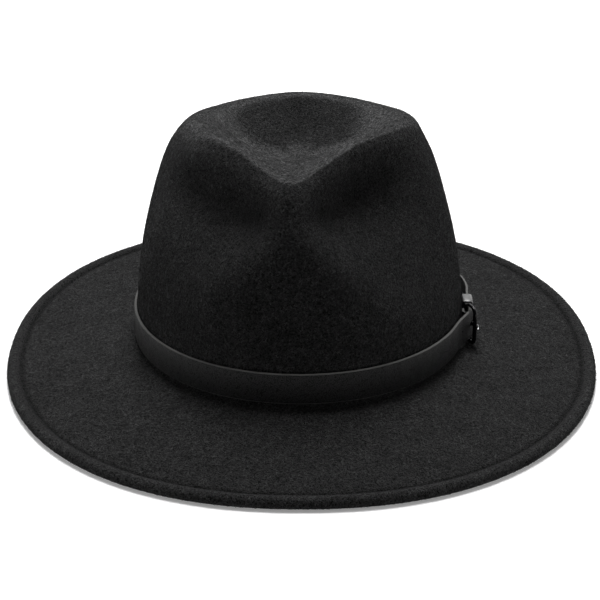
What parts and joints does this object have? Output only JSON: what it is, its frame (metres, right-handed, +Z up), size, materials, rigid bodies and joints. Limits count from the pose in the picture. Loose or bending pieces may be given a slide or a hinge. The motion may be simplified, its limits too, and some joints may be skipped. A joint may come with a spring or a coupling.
{
  "type": "fedora hat",
  "caption": "Wide-brimmed black felt fedora with a teardrop crown, front pinches, a turned and stitched brim edge and a buckled leather belt band.",
  "frame": {"origin": "on the surface that the hat stands on, under the middle of the brim's outline", "axes": "+Z up, +Y to the back of the hat, +X to the wearer's left, where the buckle is"},
  "size_m": [0.3086, 0.3404, 0.132],
  "materials": {
    "wool_felt": "matt brushed black wool felt with a short nap",
    "band_leather": "black leather, half matt, with paler cut edges",
    "buckle_metal": "glossy black enamel on metal"
  },
  "bodies": {
    "root": {"felt_body": "wool_felt", "hat_band": "band_leather", "band_keeper": "band_leather", "buckle_frame": "buckle_metal", "buckle_prong": "buckle_metal"}
  },
  "joints": []
}
